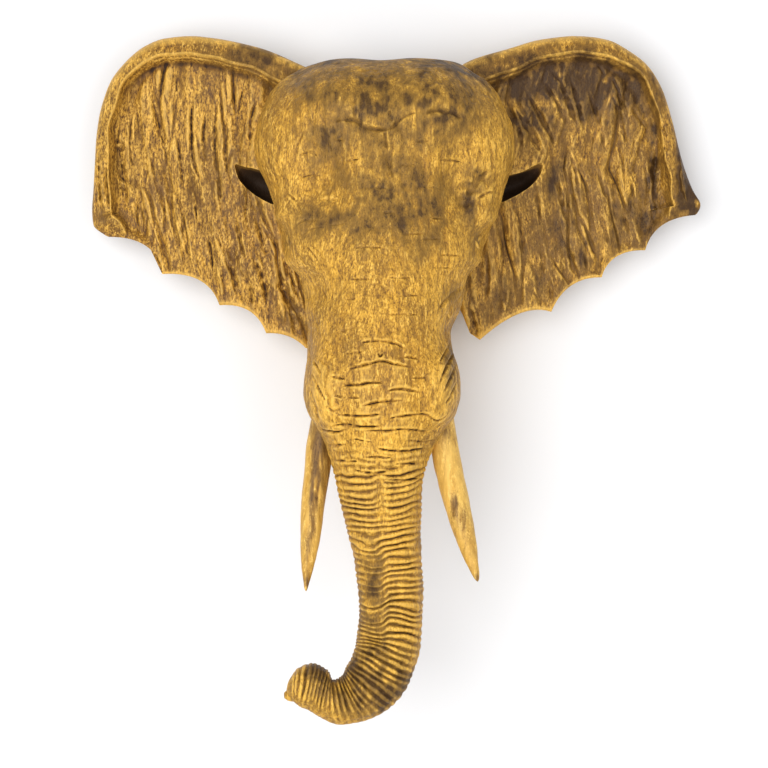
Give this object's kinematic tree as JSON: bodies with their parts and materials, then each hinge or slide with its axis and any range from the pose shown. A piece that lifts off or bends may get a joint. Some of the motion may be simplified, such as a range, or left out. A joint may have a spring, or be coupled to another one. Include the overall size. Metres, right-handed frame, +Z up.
{
  "type": "carved wooden elephant head for a wall",
  "caption": "Carved hardwood elephant head with spread ears, wrinkled trunk curled to one side and let-in tusks, flat at the back to hang on a wall.",
  "frame": {"origin": "on the flat back, on the middle line of the head, about the middle of the flat face that lies on the wall", "axes": "+Z up, +Y into the wall, -Y out towards the viewer, +X to the right as seen from the front"},
  "size_m": [0.8209, 0.3043, 0.9041],
  "materials": {
    "head_wood": "waxed golden brown, satin, darker in the cuts",
    "tusk_wood": "waxed pale yellow brown, smooth"
  },
  "bodies": {
    "root": {"head": "head_wood", "tusk_left": "tusk_wood", "tusk_right": "tusk_wood"}
  },
  "joints": []
}
